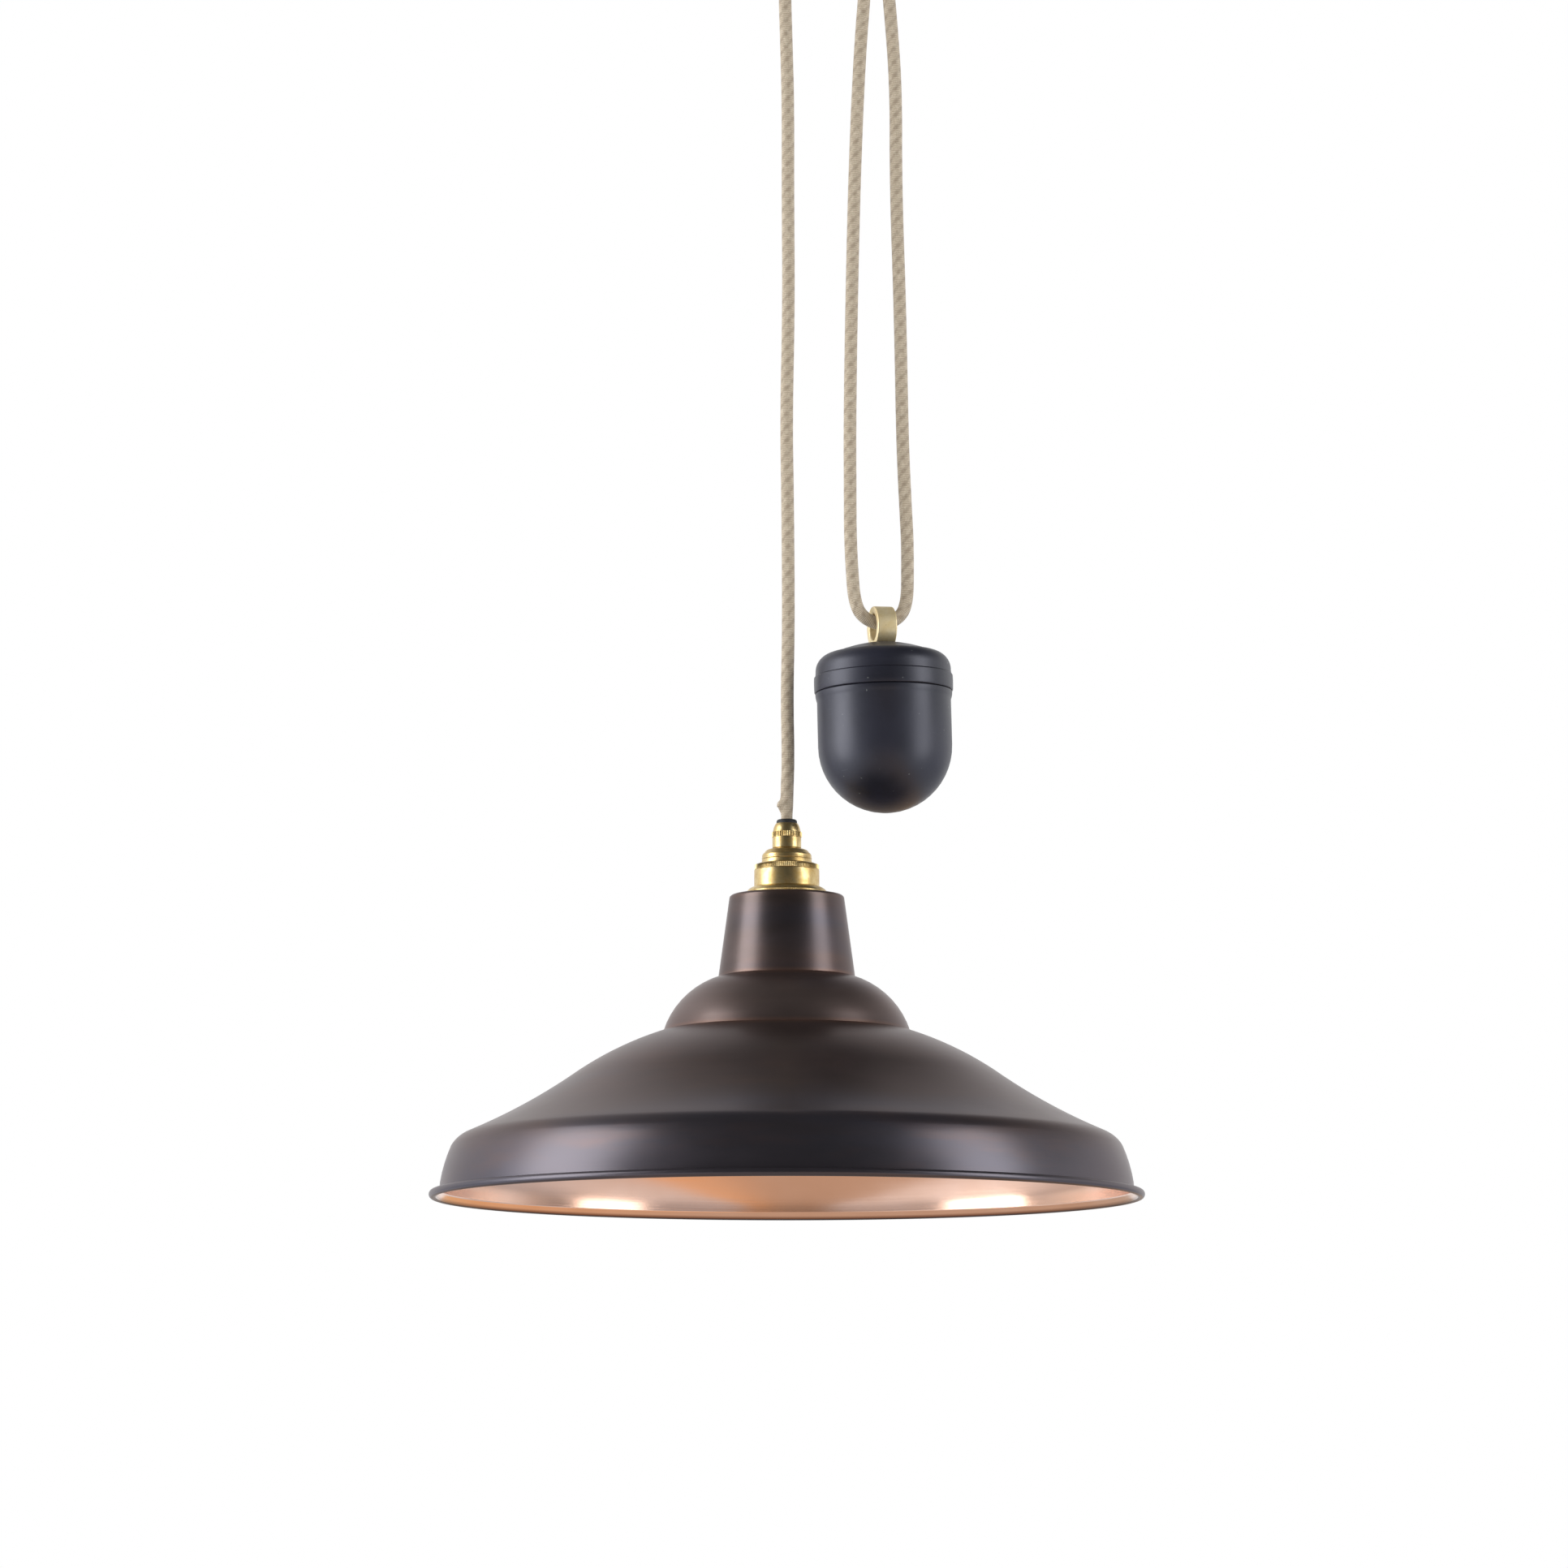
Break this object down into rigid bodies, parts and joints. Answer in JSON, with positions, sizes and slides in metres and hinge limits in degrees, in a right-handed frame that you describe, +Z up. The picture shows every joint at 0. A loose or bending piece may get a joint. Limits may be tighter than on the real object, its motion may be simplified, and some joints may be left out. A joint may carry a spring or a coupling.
{
  "type": "rise and fall pendant",
  "caption": "Spun metal pendant on a bayonet lampholder, hung from a braided cord that runs over a ceiling pulley and through the ring of a sliding counterweight.",
  "frame": {"origin": "centre of the ceiling plate's top face, on the ceiling", "axes": "+Z up into the ceiling, +X from the lamp towards the counterweight, -Y towards the viewer"},
  "size_m": [0.43, 0.43, 0.8624],
  "materials": {
    "zinc_steel": "zinc-plated steel",
    "bronzed_steel": "dark bronzed spun steel",
    "cord_braid": "braided two-tone cotton over a round cable",
    "core_insulation": "insulated cores",
    "black_rubber": "moulded black rubber",
    "moulded_plastic": "moulded thermoset",
    "aged_copper": "spun copper, weathered outside and polished inside",
    "weight_enamel": "blue-black satin enamel",
    "ballast_iron": "raw casting",
    "spring_steel": "hard-drawn wire",
    "aged_brass": "turned and lacquered brass, lightly aged"
  },
  "bodies": {
    "ceiling": {"ceiling_plate": "zinc_steel", "plate_tabs": "zinc_steel", "cup_base": "bronzed_steel", "ceiling_cup": "bronzed_steel", "cup_screws": "zinc_steel", "hanger_stud": "zinc_steel", "hanger_washer": "zinc_steel", "hanger_nut": "zinc_steel", "terminal_block": "moulded_plastic", "terminal_inserts": "aged_brass", "terminal_screws": "aged_brass", "earth_terminal": "aged_brass", "ceiling_grip_body": "aged_brass", "ceiling_grip_nut": "aged_brass", "ceiling_grip_bush": "black_rubber", "ceiling_cord_tail": "cord_braid", "ceiling_grip_locknut": "aged_brass", "ceiling_core_wires": "core_insulation", "pulley_axle": "zinc_steel", "axle_clip": "zinc_steel", "pulley_yoke": "bronzed_steel", "cord_over_pulley": "cord_braid", "lamp_strand": "cord_braid", "weight_strand_pulley_side": "cord_braid", "weight_strand_fixed_side": "cord_braid"},
    "pulley": {"sheave": "aged_brass", "sheave_bush": "aged_brass"},
    "lamp": {"lamp_grip_body": "aged_brass", "lamp_grip_nut": "aged_brass", "lamp_grip_bush": "black_rubber", "lamp_cord_tail": "cord_braid", "lamp_grip_locknut": "aged_brass", "holder_cap": "aged_brass", "union_ring": "aged_brass", "holder_skirt": "aged_brass", "shade_flange": "aged_brass", "socket_barrel": "aged_brass", "shade_ring": "aged_brass", "bayonet_shell": "aged_brass", "plunger_spring_left": "spring_steel", "plunger_spring_right": "spring_steel", "insulator": "moulded_plastic", "socket_terminals": "aged_brass", "socket_terminal_screws": "aged_brass", "lamp_core_wires": "core_insulation", "shade_top": "aged_copper", "shade_neck": "aged_copper", "shade_dome": "aged_copper", "shade_cone": "aged_copper", "shade_apron": "aged_copper", "rim_wire": "zinc_steel"},
    "left_plunger": {"plunger_left": "aged_brass"},
    "right_plunger": {"plunger_right": "aged_brass"},
    "bight": {"cord_bight": "cord_braid"},
    "weight": {"weight_body": "weight_enamel", "weight_ballast": "ballast_iron", "weight_band": "weight_enamel", "weight_cap": "weight_enamel", "weight_ring": "aged_brass", "ring_nut": "zinc_steel"}
  },
  "joints": [
    {"name": "lamp_height", "type": "slide", "parent": "ceiling", "child": "lamp", "axis": [0, 0, -1], "range_m": [-0.03, 0.4], "deforming": ["lamp_strand"]},
    {"name": "weight_height", "type": "slide", "parent": "ceiling", "child": "bight", "axis": [0, 0, 1], "range_m": [-0.016, 0.201], "deforming": ["weight_strand_pulley_side", "weight_strand_fixed_side"]},
    {"name": "sheave_spin", "type": "hinge", "parent": "ceiling", "child": "pulley", "pos_m": [0, 0, -0.082], "axis": [0, -1, 0], "range_deg": [-70, 912]},
    {"name": "weight_swing", "type": "hinge", "parent": "bight", "child": "weight", "pos_m": [0.0344, 0, -0.5133], "axis": [0.9657, 0.2588, 0.0219], "range_deg": [-20, 20]},
    {"name": "left_plunger_press", "type": "slide", "parent": "lamp", "child": "left_plunger", "axis": [0, 0, 1], "range_m": [0, 0.003], "stiffness_N_per_m": 800, "springref_m": -0.003, "deforming": ["plunger_spring_left"]},
    {"name": "right_plunger_press", "type": "slide", "parent": "lamp", "child": "right_plunger", "axis": [0, 0, 1], "range_m": [0, 0.003], "stiffness_N_per_m": 800, "springref_m": -0.003, "deforming": ["plunger_spring_right"]}
  ],
  "couplings": [
    {"joint": "weight_height", "follows": "lamp_height", "ratio": 0.5},
    {"joint": "sheave_spin", "follows": "lamp_height", "rad_per_m": 39.682}
  ]
}
